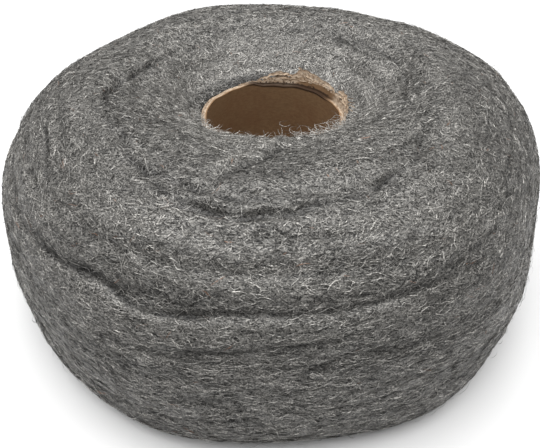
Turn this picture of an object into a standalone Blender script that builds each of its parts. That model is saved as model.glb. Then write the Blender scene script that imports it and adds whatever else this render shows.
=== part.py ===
"""Roll of coarse steel wool, wound on a cardboard tube and standing on one end.

The wool is one broad ribbon wound about eleven times round the tube, and it is built as one
solid: a spiral groove parts the turns on the top and on the underside. The tube stands a
little lower than the crown of the wool, and its outer ply is torn loose along the back of
the top rim. Metres, +Z up. The base rests on z = 0, and the origin is the middle of the base.
"""

import math

import bmesh
import bpy

# The cardboard tube.
TUBE_BORE_RADIUS = 0.0381
TUBE_WALL = 0.0030
TUBE_LENGTH = 0.1016
TUBE_COLUMNS = 80
PLY_THICKNESS = 0.0009
TIP_THICKNESS = 0.00045         # the torn ply is thinner at its tip
SLIT_SHARE = 0.5                # the slit behind the torn ply, as a share of its loose depth
RIM_RAGGEDNESS = 0.0004
RIM_WAVES = ((7, 1.0, 0.6), (17, 0.6, 0.0))     # waves in a turn, share of it, start in radians
TORN_RIM_DROP = 0.0014

# The torn outer ply, from the right round to the back of the rim: angle in degrees, how far
# its tip leans out, how far the tip rises over the rim, and how deep the ply has come loose.
TORN_PLY = (
    (-5.0, 0.0000, 0.0000, 0.0010),
    (2.0, 0.0022, 0.0024, 0.0012),
    (8.0, 0.0032, 0.0038, 0.0014),
    (14.0, 0.0020, 0.0022, 0.0020),
    (20.0, 0.0032, 0.0042, 0.0026),
    (28.0, 0.0022, 0.0018, 0.0034),
    (36.0, 0.0028, 0.0028, 0.0044),
    (45.0, 0.0034, 0.0030, 0.0046),
    (54.0, 0.0040, 0.0044, 0.0050),
    (62.0, 0.0046, 0.0056, 0.0050),
    (69.0, 0.0054, 0.0074, 0.0050),
    (74.0, 0.0024, 0.0010, 0.0050),
    (79.0, 0.0044, 0.0028, 0.0050),
    (88.0, 0.0040, 0.0034, 0.0048),
    (95.0, 0.0024, 0.0016, 0.0044),
    (101.0, 0.0008, 0.0006, 0.0028),
    (107.0, 0.0000, 0.0000, 0.0010),
)

# The wound wool.
TUBE_CLEARANCE = 0.0003
ROLL_RADIUS = 0.1550
ROLL_HEIGHT = 0.1270
TURNS = 11
OUTER_TURN_EXTRA = 0.35         # how much thicker the last turn is, as a share of a turn
COLUMNS = 60
SEAM_ANGLE = math.radians(75.0)
TAPER = 0.15                    # share of a turn over which each end of the ribbon fades out
SHOULDER_RADIUS = 0.0620
FOOT_RADIUS = 0.0200
UNDERSIDE_ROUND = 0.0030        # rounding of the wool's edge round the tube, at the underside
MOUTH_ROUND = 0.0040            # the same at the top
MOUTH_EASE = 0.3                # share of that rounding that lies between its first two lines
MOUTH_OVERHANG = 0.0035         # how far the top edge leans in where it stands over the rim
MOUTH_RISE = 0.0050             # height over the rim at which it leans in fully
RIM_CLEARANCE = 0.0010          # between the tube's rim and the wool that leans over it
EDGE_UNDER_RIM = 0.0056         # how far the wool's edge lies under the rim, behind the tube
EDGE_OVER_RIM = 0.0114          # how far it stands over the rim, in front of the tube
DISH_TURN = 0.25                # sine of the angle at which that edge starts to rise
DISH_TURN_CURVE = 0.9
DISH_CURVE = 1.3                # 1 is a straight slope from the crown down to the tube
CROWN_DIP = 0.0030              # the crown is lower here than elsewhere
CROWN_DIP_ANGLE = math.radians(150.0)
CROWN_DIP_WIDTH = math.radians(32.0)
SIDE_ROWS = 8
FOOT_ROWS = 4
SIDE_BULGE = 0.0020

# The outer face is wavy from hand winding: lobes in a turn, size, direction of one lobe.
OUTLINE_LOBES = (
    (3, 0.0015, math.radians(11.0)),
    (4, 0.0013, math.radians(27.0)),
    (5, 0.0013, math.radians(21.0)),
    (6, 0.0011, math.radians(10.0)),
    (7, 0.0005, math.radians(46.0)),
)
LUMPS = 0.0009                  # slow rise and fall over the top and the side
LUMP_SPACING = 0.0700           # distance across the turns over which the lumps repeat
LUMP_WAVES = ((5, 1.0, 1.0, 0.0), (9, 0.7, -1.7, 1.0))  # in a turn, share, slant, start in radians

# The turns: groove depth between them, and how far each turn's back swells between grooves.
GROOVE_DEPTH = 0.0007
GROOVE_VARIATION = 0.45         # share by which the groove's depth varies along it
GROOVE_BEAT = 6.9               # radians in a turn, so that neighbouring turns differ
TURN_SWELL = 0.0003
UNDERSIDE_GROOVE = 0.0012
TURN_LINES = (0.0, 0.3, 0.7)    # one groove and two lines on the turn's back, as shares of it

# Deeper folds along the spiral groove: where, in turns from the tube, how long to either side,
# in turns, and how much deeper.
FOLDS = (
    (1.54, 0.04, 0.0024),
    (1.90, 0.04, 0.0020),
    (2.16, 0.05, 0.0026),
    (2.51, 0.04, 0.0024),
    (2.82, 0.05, 0.0022),
    (3.26, 0.05, 0.0030),
    (3.53, 0.03, 0.0020),
    (3.90, 0.06, 0.0030),
    (4.31, 0.04, 0.0026),
    (4.41, 0.03, 0.0030),
    (5.42, 0.04, 0.0034),
    (5.66, 0.04, 0.0034),
    (6.46, 0.04, 0.0030),
    (6.55, 0.06, 0.0018),
    (6.61, 0.05, 0.0034),
    (7.34, 0.04, 0.0018),
    (7.51, 0.07, 0.0044),
    (8.38, 0.06, 0.0022),
    (8.57, 0.06, 0.0010),
    (9.30, 0.08, 0.0016),
    (9.52, 0.08, 0.0012),
    (9.68, 0.04, 0.0020),
    (10.36, 0.10, 0.0020),
    (10.49, 0.05, 0.0040),
    (10.60, 0.06, 0.0034),
    (10.72, 0.06, 0.0014),
)

# The last groove wanders inwards on the shoulder, and takes its neighbours with it.
EDGE_WANDER = 0.0060
WANDER_ANGLE = math.radians(318.0)
WANDER_WIDTH = math.radians(20.0)
WANDER_TURNS = 2.0              # how many turns from the side it reaches
WANDER_FULL = 0.4               # it is full from here, in turns from the side
WANDER_END = 0.25               # and fades out from here to the side

# Folds pressed into the side: angle in radians, height, half length, half width and depth.
SIDE_FOLDS = (
    (math.radians(281.0), 0.0730, 0.020, 0.0050, 0.0034),
    (math.radians(268.0), 0.0810, 0.024, 0.0050, 0.0018),
    (math.radians(251.0), 0.0600, 0.026, 0.0050, 0.0018),
    (math.radians(261.0), 0.0500, 0.024, 0.0050, 0.0018),
    (math.radians(243.0), 0.0320, 0.026, 0.0050, 0.0020),
    (math.radians(300.0), 0.0420, 0.026, 0.0060, 0.0022),
    (math.radians(20.0), 0.0450, 0.040, 0.0060, 0.0022),
    (math.radians(100.0), 0.0350, 0.045, 0.0060, 0.0022),
    (math.radians(165.0), 0.0500, 0.040, 0.0060, 0.0024),
)

SLOPE_STEP = 0.002              # share of the way across over which the slope is read
MERGE_DISTANCE = 1e-6
SHARP_ANGLE = math.radians(40.0)

TUBE_OUTER_RADIUS = TUBE_BORE_RADIUS + TUBE_WALL
WOOL_BORE_RADIUS = TUBE_OUTER_RADIUS + TUBE_CLEARANCE


def blend(value, start, end):
    """0 at start, 1 at end, smooth between them."""
    share = min(1.0, max(0.0, (value - start) / (end - start)))
    return share * share * (3.0 - 2.0 * share)


def bell(value, centre, half_width):
    """1 at the centre, fading to nothing about two half widths away."""
    return math.exp(-(((value - centre) / half_width) ** 2))


def angle_between(first, second):
    """Signed difference of two angles, from -pi to pi."""
    return (first - second + math.pi) % (2.0 * math.pi) - math.pi


def material(name, colour, roughness, metallic):
    """A plain material with the piece's own colour."""
    made = bpy.data.materials.new(name)
    made.use_nodes = True
    shader = made.node_tree.nodes["Principled BSDF"]
    shader.inputs["Base Color"].default_value = (*colour, 1.0)
    shader.inputs["Roughness"].default_value = roughness
    shader.inputs["Metallic"].default_value = metallic
    made.diffuse_color = (*colour, 1.0)
    return made


def solid_from_sections(name, sections, surface):
    """Join closed sections, one after another round the axis, into one closed solid."""
    shape = bmesh.new()
    rings = [[shape.verts.new(point) for point in section] for section in sections]
    rows = len(rings[0])
    for ring, following in zip(rings, rings[1:]):
        for row in range(rows):
            beyond = (row + 1) % rows
            shape.faces.new((ring[row], ring[beyond], following[beyond], following[row]))
    bmesh.ops.remove_doubles(shape, verts=shape.verts[:], dist=MERGE_DISTANCE)
    bmesh.ops.recalc_face_normals(shape, faces=shape.faces[:])
    mesh = bpy.data.meshes.new(name)
    shape.to_mesh(mesh)
    shape.free()
    mesh.shade_smooth()
    mesh.set_sharp_from_angle(angle=SHARP_ANGLE)
    mesh.materials.append(surface)
    made = bpy.data.objects.new(name, mesh)
    bpy.context.scene.collection.objects.link(made)
    return made


def placed(section, angle):
    """Turn a section's (radius, height) points into points in space at one angle."""
    return [(radius * math.cos(angle), radius * math.sin(angle), height) for radius, height in section]


def torn_ply(angle):
    """Lean, rise and depth of the torn ply at one angle; (0, 0, small) where it is whole."""
    degrees = (math.degrees(angle) - TORN_PLY[0][0]) % 360.0 + TORN_PLY[0][0]
    for near, far in zip(TORN_PLY, TORN_PLY[1:]):
        if near[0] <= degrees <= far[0]:
            share = (degrees - near[0]) / (far[0] - near[0])
            return [start + (end - start) * share for start, end in zip(near[1:], far[1:])]
    return TORN_PLY[0][1:]


def tube_section(angle):
    """Wall of the tube at one angle: outside, torn ply, slit behind it, rim, bore."""
    lean, rise, depth = torn_ply(angle)
    torn = blend(lean + rise, 0.0, TORN_RIM_DROP)
    ragged = sum(share * math.sin(count * angle + start) for count, share, start in RIM_WAVES)
    whole = TUBE_LENGTH + RIM_RAGGEDNESS * ragged
    rim = whole - TORN_RIM_DROP * torn
    length = math.hypot(lean, rise + depth)
    inward = (rise + depth) / length * TIP_THICKNESS
    upward = lean / length * TIP_THICKNESS
    tip = (TUBE_OUTER_RADIUS + lean, whole + rise)
    ply_root = TUBE_OUTER_RADIUS - PLY_THICKNESS
    slit_depth = SLIT_SHARE * depth * torn
    return [
        (TUBE_OUTER_RADIUS, 0.0),
        (TUBE_OUTER_RADIUS, whole - depth),
        tip,
        (tip[0] - inward, tip[1] + upward),
        (0.5 * (ply_root + TUBE_OUTER_RADIUS - TIP_THICKNESS), rim - slit_depth),
        (ply_root, rim),
        (TUBE_BORE_RADIUS, rim),
        (TUBE_BORE_RADIUS, 0.0),
    ]


def outline_radius(angle):
    """Radius of the roll's outer face, before its bulge and folds."""
    lobes = sum(size * math.cos(count * (angle - phase)) for count, size, phase in OUTLINE_LOBES)
    return ROLL_RADIUS + lobes


def dish_depth(angle):
    """How far the wool's edge round the tube lies under the crown."""
    raised = max(0.0, (DISH_TURN - math.sin(angle)) / (DISH_TURN + 1.0)) ** DISH_TURN_CURVE
    edge = TUBE_LENGTH - EDGE_UNDER_RIM + (EDGE_UNDER_RIM + EDGE_OVER_RIM) * raised
    return ROLL_HEIGHT - edge


def top_height(radius, angle):
    """Height of the top: a dish round the tube, the crown, then the round shoulder."""
    crown = outline_radius(angle) - SHOULDER_RADIUS
    dip = CROWN_DIP * bell(angle_between(angle, CROWN_DIP_ANGLE), 0.0, CROWN_DIP_WIDTH)
    if radius >= crown:
        across = min(1.0, (radius - crown) / SHOULDER_RADIUS)
        fall = 1.0 - math.sqrt(1.0 - across * across)
        return ROLL_HEIGHT - SHOULDER_RADIUS * fall - dip * (1.0 - fall)
    inside = (crown - radius) / (crown - WOOL_BORE_RADIUS)
    return ROLL_HEIGHT - dip - (dish_depth(angle) - dip) * inside ** DISH_CURVE


def mouth_height(angle):
    """Height at which the wool's inner wall ends and its edge starts to round off."""
    return top_height(WOOL_BORE_RADIUS, angle) - MOUTH_ROUND


def neck_height(angle):
    """Height up to which the wool's inner wall is upright: clear over the tube's rim at most."""
    return min(TUBE_LENGTH + RIM_CLEARANCE, mouth_height(angle) - RIM_CLEARANCE)


def mouth_overhang(angle):
    """How far the wool's edge leans in over the tube's rim, where it stands above it."""
    lowest = TUBE_LENGTH + 2.0 * RIM_CLEARANCE
    return MOUTH_OVERHANG * blend(mouth_height(angle), lowest, lowest + MOUTH_RISE)


def top_point(share, angle):
    """Point of the smooth top at a share of the way from the tube to the side."""
    edge = MOUTH_EASE * MOUTH_ROUND
    inner = WOOL_BORE_RADIUS + edge - mouth_overhang(angle)
    outer = outline_radius(angle)
    radius = inner + (outer - inner) * share
    turns_left = (1.0 - share) * TURNS
    reach = (1.0 - blend(turns_left, WANDER_FULL, WANDER_TURNS)) * blend(turns_left, 0.0, WANDER_END)
    radius -= EDGE_WANDER * bell(angle_between(angle, WANDER_ANGLE), 0.0, WANDER_WIDTH) * reach
    height = top_height(max(radius, WOOL_BORE_RADIUS), angle)
    height -= edge * (1.0 - blend(radius, inner, inner + MOUTH_ROUND))
    return radius, height


def lumps(angle, place):
    """Slow unevenness; place is a distance along the section."""
    wave = 2.0 * math.pi * place / LUMP_SPACING
    rises = [
        share * math.sin(count * angle + slant * wave + start)
        for count, share, slant, start in LUMP_WAVES
    ]
    return LUMPS * sum(rises)


def groove_depth(wound):
    """Depth of the spiral groove, by how many turns it has run from the tube."""
    beat = math.sin(GROOVE_BEAT * wound) * math.sin(2.0 * math.pi * wound)
    folded = sum(extra * bell(wound, where, span) for where, span, extra in FOLDS)
    return GROOVE_DEPTH * (1.0 + GROOVE_VARIATION * beat) + folded


def groove_share(turn, around):
    """Share of the way from the tube to the side of a turn's outer groove."""
    wound = turn - 1 + around
    if wound < TAPER:
        return 0.0
    if wound > TURNS - TAPER:
        return 1.0
    return wound / (TURNS + OUTER_TURN_EXTRA)


def turn_lines(around):
    """Every line across the turns at one angle: its share, and its kind of height change."""
    lines = []
    for turn in range(TURNS + 1):
        inner = groove_share(turn, around) if turn else 0.0
        outer = groove_share(turn + 1, around) if turn < TURNS else 1.0
        width = (outer - inner) * TURNS
        for line in TURN_LINES:
            share = inner + (outer - inner) * line
            is_groove = line == 0.0 and 0.0 < inner < 1.0
            lines.append((share, is_groove, turn - 1 + around, width))
    lines.append((1.0, False, float(TURNS), 0.0))
    return lines


def side_fold(angle, height):
    """Depth of the folds pressed into the side, at one angle and height."""
    depth = 0.0
    for where, level, half_length, half_width, deepest in SIDE_FOLDS:
        along = angle_between(angle, where) * ROLL_RADIUS
        depth += deepest * bell(along, 0.0, half_length) * bell(height, level, half_width)
    return depth


def top_rows(angle, around):
    """The top from the tube outwards, with grooves cut in and turns swelling between them."""
    rows = []
    for share, is_groove, wound, width in turn_lines(around):
        radius, height = top_point(share, angle)
        ahead = top_point(min(1.0, share + SLOPE_STEP), angle)
        behind = top_point(max(0.0, share - SLOPE_STEP), angle)
        run, rise = ahead[0] - behind[0], ahead[1] - behind[1]
        length = math.hypot(run, rise)
        free = min(1.0, share * TURNS, (1.0 - share) * TURNS)
        if is_groove:
            offset = -groove_depth(wound) * free
        else:
            offset = TURN_SWELL * min(1.0, width) * free
        offset += (lumps(angle, radius) - side_fold(angle, height)) * free
        rows.append((radius - offset * rise / length, height + offset * run / length))
    return rows


def side_rows(angle):
    """The outer face from under the shoulder down to the foot."""
    outer = outline_radius(angle)
    top = ROLL_HEIGHT - SHOULDER_RADIUS
    rows = []
    for row in range(1, SIDE_ROWS + 1):
        share = row / SIDE_ROWS
        height = top + (FOOT_RADIUS - top) * share
        rows.append((outer + SIDE_BULGE * math.sin(math.pi * share), height))
    for row in range(1, FOOT_ROWS + 1):
        turned = 0.5 * math.pi * row / FOOT_ROWS
        radius = outer - FOOT_RADIUS * (1.0 - math.cos(turned))
        rows.append((radius, FOOT_RADIUS * (1.0 - math.sin(turned))))
    shaped = []
    for radius, height in rows:
        fade = blend(height, 0.0, FOOT_RADIUS)
        offset = lumps(angle, height) * (1.0 - blend(height, top - FOOT_RADIUS, top))
        shaped.append((radius + (offset - side_fold(angle, height)) * fade, height))
    return shaped


def underside_rows(angle, around):
    """The underside from the foot inwards: flat, with a shallow spiral groove."""
    inner = WOOL_BORE_RADIUS + UNDERSIDE_ROUND
    outer = outline_radius(angle) - FOOT_RADIUS
    rows = []
    for share, is_groove, _, _ in reversed(turn_lines(around)):
        free = min(1.0, share * TURNS, (1.0 - share) * TURNS)
        rows.append((inner + (outer - inner) * share, UNDERSIDE_GROOVE * free if is_groove else 0.0))
    return rows[1:]


def wool_section(column):
    """One closed section through the wound wool."""
    around = column / COLUMNS
    angle = SEAM_ANGLE + 2.0 * math.pi * around
    rows = top_rows(angle, around) + side_rows(angle) + underside_rows(angle, around)
    rows.append((WOOL_BORE_RADIUS, UNDERSIDE_ROUND))
    rows.append((WOOL_BORE_RADIUS, neck_height(angle)))
    rows.append((WOOL_BORE_RADIUS - mouth_overhang(angle), mouth_height(angle)))
    return placed(rows, angle)


def make_tube():
    """The cardboard tube with its torn rim."""
    surface = material("cardboard", (0.16, 0.085, 0.045), 0.85, 0.0)
    angles = [2.0 * math.pi * column / TUBE_COLUMNS for column in range(TUBE_COLUMNS + 1)]
    sections = [placed(tube_section(angle), angle) for angle in angles]
    return solid_from_sections("core_tube", sections, surface)


def make_wool():
    """The wound wool, one solid from the tube out to the side."""
    surface = material("steel_wool", (0.19, 0.18, 0.17), 0.5, 0.7)
    sections = [wool_section(column) for column in range(COLUMNS + 1)]
    return solid_from_sections("wool_roll", sections, surface)


def main():
    for existing in list(bpy.data.objects):
        bpy.data.objects.remove(existing, do_unlink=True)
    wool = make_wool()
    tube = make_tube()
    across = [vertex.co.x for vertex in wool.data.vertices]
    along = [vertex.co.y for vertex in wool.data.vertices]
    middle = (-0.5 * (min(across) + max(across)), -0.5 * (min(along) + max(along)), 0.0)
    wool.location = middle
    tube.location = middle


main()
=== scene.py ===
"""Roll of coarse steel wool on a cardboard tube: its fibres, its torn board, the stage and the camera."""

import math

import bpy
import numpy as np
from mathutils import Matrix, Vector
from mathutils.bvhtree import BVHTree


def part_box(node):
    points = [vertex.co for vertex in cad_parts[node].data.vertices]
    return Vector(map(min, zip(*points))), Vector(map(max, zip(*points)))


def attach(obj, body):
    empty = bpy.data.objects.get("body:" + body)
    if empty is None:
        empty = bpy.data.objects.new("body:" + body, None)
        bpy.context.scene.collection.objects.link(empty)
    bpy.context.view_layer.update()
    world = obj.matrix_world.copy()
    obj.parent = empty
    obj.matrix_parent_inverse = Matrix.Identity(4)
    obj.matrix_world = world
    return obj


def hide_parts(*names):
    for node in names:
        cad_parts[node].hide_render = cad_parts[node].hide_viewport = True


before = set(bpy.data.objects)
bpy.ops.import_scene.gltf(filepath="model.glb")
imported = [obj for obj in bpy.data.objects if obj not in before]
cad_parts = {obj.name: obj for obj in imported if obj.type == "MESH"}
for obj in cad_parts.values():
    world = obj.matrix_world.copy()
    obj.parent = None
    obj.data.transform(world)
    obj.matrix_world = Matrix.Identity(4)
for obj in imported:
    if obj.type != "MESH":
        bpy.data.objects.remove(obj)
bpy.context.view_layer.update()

bl_info = {
    "name": "Steel Wool Roll",
    "version": (1, 0, 0),
    "blender": (4, 5, 0),
    "location": "3D View > Sidebar > Steel Wool",
    "description": "Dresses a wound roll of steel wool with fibres, torn board, stage and camera",
    "category": "Object",
}

WOOL_NODE = "wool_roll"
TUBE_NODE = "core_tube"
BODY = "root"

# How finely the wound surface is read from the frame.
COLUMNS = 440
SECTION_ROWS = (("bore", 6), ("top", 66), ("shoulder", 62), ("side", 36), ("underside", 16))
PROFILE_RAYS = 720
PROFILE_COLUMNS = 24
SMOOTH_COLUMNS = 5
WALL_MIDDLE = (0.62, 0.44)      # where the rays start, as shares of the radius and the height
RIB_SMOOTHING = 0.0030
RIB_SHARE = 0.25                # how much of the solid's even ribs is kept
EDGE_FADE = 0.008               # over which reshaping starts at the mouth and ends at the foot
FLOOR_GAP = 0.0003

MM = 0.001


# Reading the frame


def tube_axis():
    """Middle of the tube's lower end, in plan."""
    ends = [vertex.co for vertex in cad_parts[TUBE_NODE].data.vertices if vertex.co.z < 0.1 * MM]
    middle_x = 0.5 * (min(point.x for point in ends) + max(point.x for point in ends))
    middle_y = 0.5 * (min(point.y for point in ends) + max(point.y for point in ends))
    return np.array([middle_x, middle_y])


AXIS = tube_axis()


def tree_of(node):
    """The node's own faces, ready for rays."""
    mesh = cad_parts[node].data
    corners = [vertex.co.copy() for vertex in mesh.vertices]
    faces = [tuple(polygon.vertices) for polygon in mesh.polygons]
    return BVHTree.FromPolygons(corners, faces)


def smooth_step(value, start, end):
    """0 at start, 1 at end, smooth between them; works on arrays."""
    share = np.clip((value - start) / (end - start), 0.0, 1.0)
    return share * share * (3.0 - 2.0 * share)


def smooth_round(values, columns):
    """Blur along the last axis, which closes on itself."""
    reach = 3 * columns
    total = np.zeros_like(values)
    weight_sum = 0.0
    for step in range(-reach, reach + 1):
        weight = math.exp(-0.5 * (step / columns) ** 2)
        total += weight * np.roll(values, step, axis=-1)
        weight_sum += weight
    return total / weight_sum


def round_noise(seed, cells_round, cells_across, angle, share):
    """Smooth random values from -1 to 1; they meet again after one turn."""
    lattice = np.random.default_rng(seed).uniform(-1.0, 1.0, (cells_round, cells_across + 2))
    along = np.mod(angle / (2.0 * math.pi), 1.0) * cells_round
    across = np.clip(share, 0.0, 1.0) * cells_across
    low_along = np.floor(along).astype(int)
    low_across = np.floor(across).astype(int)
    blend_along = along - low_along
    blend_across = across - low_across
    blend_along = blend_along * blend_along * (3.0 - 2.0 * blend_along)
    blend_across = blend_across * blend_across * (3.0 - 2.0 * blend_across)
    first = np.mod(low_along, cells_round)
    second = np.mod(low_along + 1, cells_round)
    near, far = (
        lattice[first, row] * (1.0 - blend_along) + lattice[second, row] * blend_along
        for row in (low_across, low_across + 1)
    )
    return near * (1.0 - blend_across) + far * blend_across


class WoundSurface:
    """The wool's outer face as a closed grid: rows across the turns, columns round the roll."""

    def __init__(self):
        self.tree = tree_of(WOOL_NODE)
        low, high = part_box(WOOL_NODE)
        self.outer = 0.25 * (high[0] - low[0] + high[1] - low[1])
        self.centre = (WALL_MIDDLE[0] * self.outer, WALL_MIDDLE[1] * (high[2] - low[2]))
        self.angles = np.arange(COLUMNS) * (2.0 * math.pi / COLUMNS)
        self.tilts, self.across, self.parts = self.choose_rows()
        radius, height = self.cast(self.angles, self.tilts)
        self.radius = smooth_round(radius, SMOOTH_COLUMNS)
        self.height = smooth_round(height, SMOOTH_COLUMNS)
        self.finish_form()

    def cast(self, angles, tilts):
        """Where rays from the middle of the wound wall leave the solid: radius and height."""
        radius = np.zeros((len(tilts), len(angles)))
        height = np.zeros_like(radius)
        middle_radius, middle_height = self.centre
        for column, angle in enumerate(angles):
            outward = Vector((math.cos(angle), math.sin(angle), 0.0))
            start = Vector((AXIS[0], AXIS[1], middle_height)) + outward * middle_radius
            for row, tilt in enumerate(tilts):
                ray = outward * math.cos(tilt) + Vector((0.0, 0.0, math.sin(tilt)))
                point = self.tree.ray_cast(start, ray)[0]
                if point is None:
                    raise RuntimeError("a ray left the wool without meeting its surface")
                radius[row, column] = math.hypot(point.x - AXIS[0], point.y - AXIS[1])
                height[row, column] = point.z
        return radius, height

    def choose_rows(self):
        """Ray tilts that space the rows evenly within each part of the section."""
        tilts = math.pi - np.arange(PROFILE_RAYS) * (2.0 * math.pi / PROFILE_RAYS)
        angles = np.arange(PROFILE_COLUMNS) * (2.0 * math.pi / PROFILE_COLUMNS)
        radius, height = self.cast(angles, tilts)
        radius = radius.mean(axis=1)
        height = height.mean(axis=1)
        steps = np.hypot(np.diff(radius, append=radius[0]), np.diff(height, append=height[0]))
        length = np.concatenate([[0.0], np.cumsum(steps)])
        tilts = np.append(tilts, -math.pi)
        top = height.max()
        self.bore = radius.min()
        is_bore = radius < self.bore + 1.0 * MM
        mouth = length[np.nonzero(is_bore[: PROFILE_RAYS // 2])[0].max()]
        heel = length[PROFILE_RAYS // 2 + np.nonzero(is_bore[PROFILE_RAYS // 2:])[0].min()]
        crown = length[np.argmax(height)]
        side = length[np.nonzero((height > 0.5 * top) & (radius > self.outer - 4.0 * MM))[0].min()]
        foot = length[np.nonzero((height < 1.0 * MM) & (radius > 0.5 * self.outer))[0].min()]
        marks = {"bore": (heel, length[-1] + mouth), "top": (mouth, crown), "shoulder": (crown, side)}
        marks["side"] = (side, foot)
        marks["underside"] = (foot, heel)
        rows = []
        for part, count in SECTION_ROWS:
            start, end = marks[part]
            rows.append(np.mod(start + (end - start) * np.arange(count) / count, length[-1]))
        across = np.sort(np.concatenate(rows))
        return np.interp(across, length, tilts), across, marks

    def relax_ribs(self, smoothing, kept):
        """Soften the even ribs between the turns; the mouth's edge and the foot stay as they are."""
        free = self.free_share()[:, None]
        gaps = self.across[:, None] - self.across[None, :]
        weights = np.exp(-0.5 * (gaps / smoothing) ** 2)
        weights *= np.gradient(self.across)[None, :]
        weights /= weights.sum(axis=1, keepdims=True)
        for name in ("radius", "height"):
            grid = getattr(self, name)
            soft = weights @ grid
            setattr(self, name, grid + (soft - grid) * free * (1.0 - kept))
        self.plain_radius = self.radius
        self.plain_height = self.height
        self.finish_form()

    def free_share(self):
        """1 on the rows that may be reshaped, 0 in the bore, at its mouth and on the underside."""
        start, end = self.parts["top"][0], self.parts["side"][1]
        opened = smooth_step(self.across, start, start + EDGE_FADE)
        return opened * (1.0 - smooth_step(self.across, end - EDGE_FADE, end))

    def finish_form(self):
        """Places and directions of the grid's points."""
        cosine, sine = np.cos(self.angles), np.sin(self.angles)
        self.points = np.stack(
            [AXIS[0] + self.radius * cosine, AXIS[1] + self.radius * sine, self.height], axis=-1
        )
        along = np.roll(self.points, -1, axis=1) - np.roll(self.points, 1, axis=1)
        across = np.roll(self.points, -1, axis=0) - np.roll(self.points, 1, axis=0)
        normals = np.cross(along, across)
        normals /= np.linalg.norm(normals, axis=-1, keepdims=True)
        if normals[np.argmax(self.height.mean(axis=1)), :, 2].mean() < 0.0:
            normals = -normals
        self.normals = normals

    def push(self, distance):
        """Move every point along its own direction out of the wool."""
        moved = self.points + self.normals * distance[..., None]
        moved[..., 2] = np.maximum(moved[..., 2], 0.0)
        plan = moved[..., :2] - AXIS
        self.radius = np.hypot(plan[..., 0], plan[..., 1])
        self.height = moved[..., 2]
        self.finish_form()

    def at(self, angle, across):
        """Points and directions anywhere on the surface."""
        column = np.mod(angle / (2.0 * math.pi), 1.0) * COLUMNS
        row = np.interp(across, self.across, np.arange(len(self.across)))
        left = np.floor(column).astype(int) % COLUMNS
        right = (left + 1) % COLUMNS
        above = np.clip(np.floor(row).astype(int), 0, len(self.across) - 2)
        below = above + 1
        sideways = (column - np.floor(column))[..., None]
        down = (row - above)[..., None]
        found = []
        for grid in (self.points, self.normals):
            upper = grid[above, left] * (1.0 - sideways) + grid[above, right] * sideways
            lower = grid[below, left] * (1.0 - sideways) + grid[below, right] * sideways
            found.append(upper * (1.0 - down) + lower * down)
        found[1] /= np.linalg.norm(found[1], axis=-1, keepdims=True)
        return found

    def value_at(self, grid, angle, across):
        """A per-point value of the grid, anywhere on the surface."""
        column = np.mod(np.round(angle / (2.0 * math.pi) * COLUMNS).astype(int), COLUMNS)
        row = np.round(np.interp(across, self.across, np.arange(len(self.across)))).astype(int)
        return grid[row, column]

    def edge(self, part, share):
        """Distance across the turns at a share of one part of the section."""
        start, end = self.parts[part]
        return start + (end - start) * share

    def across_at_radius(self, degrees, share):
        """Distance across the turns at an angle and a share of the outer radius, on the upper face."""
        column = round(degrees / 360.0 * COLUMNS) % COLUMNS
        upper = (self.across >= self.parts["top"][0]) & (self.across <= self.parts["side"][0])
        radius = np.maximum.accumulate(self.plain_radius[upper, column])
        return np.interp(share * self.outer, radius, self.across[upper])

    def across_at_height(self, degrees, height):
        """Distance across the turns at an angle and a height in millimetres, on the side."""
        column = round(degrees / 360.0 * COLUMNS) % COLUMNS
        side = (self.across >= self.parts["shoulder"][0]) & (self.across <= self.parts["side"][1])
        drop = np.maximum.accumulate(-self.plain_height[side, column])
        return np.interp(-height * MM, drop, self.across[side])


# Shader recipes


class Wire:
    """One output of a shader node, for plain arithmetic."""

    def __init__(self, recipe, socket):
        self.recipe = recipe
        self.socket = socket

    def _math(self, operation, first, second):
        return self.recipe.node("ShaderNodeMath", {"operation": operation}, {0: first, 1: second})

    def __add__(self, other):
        return self._math("ADD", self, other)

    def __radd__(self, other):
        return self._math("ADD", other, self)

    def __sub__(self, other):
        return self._math("SUBTRACT", self, other)

    def __rsub__(self, other):
        return self._math("SUBTRACT", other, self)

    def __mul__(self, other):
        return self._math("MULTIPLY", self, other)

    def __rmul__(self, other):
        return self._math("MULTIPLY", other, self)

    def between(self, low, high):
        """0 where the value is low, 1 where it is high, smooth between."""
        settings = {"interpolation_type": "SMOOTHSTEP"}
        return self.recipe.node("ShaderNodeMapRange", settings, {0: self, 1: low, 2: high, 3: 0.0, 4: 1.0})


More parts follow.
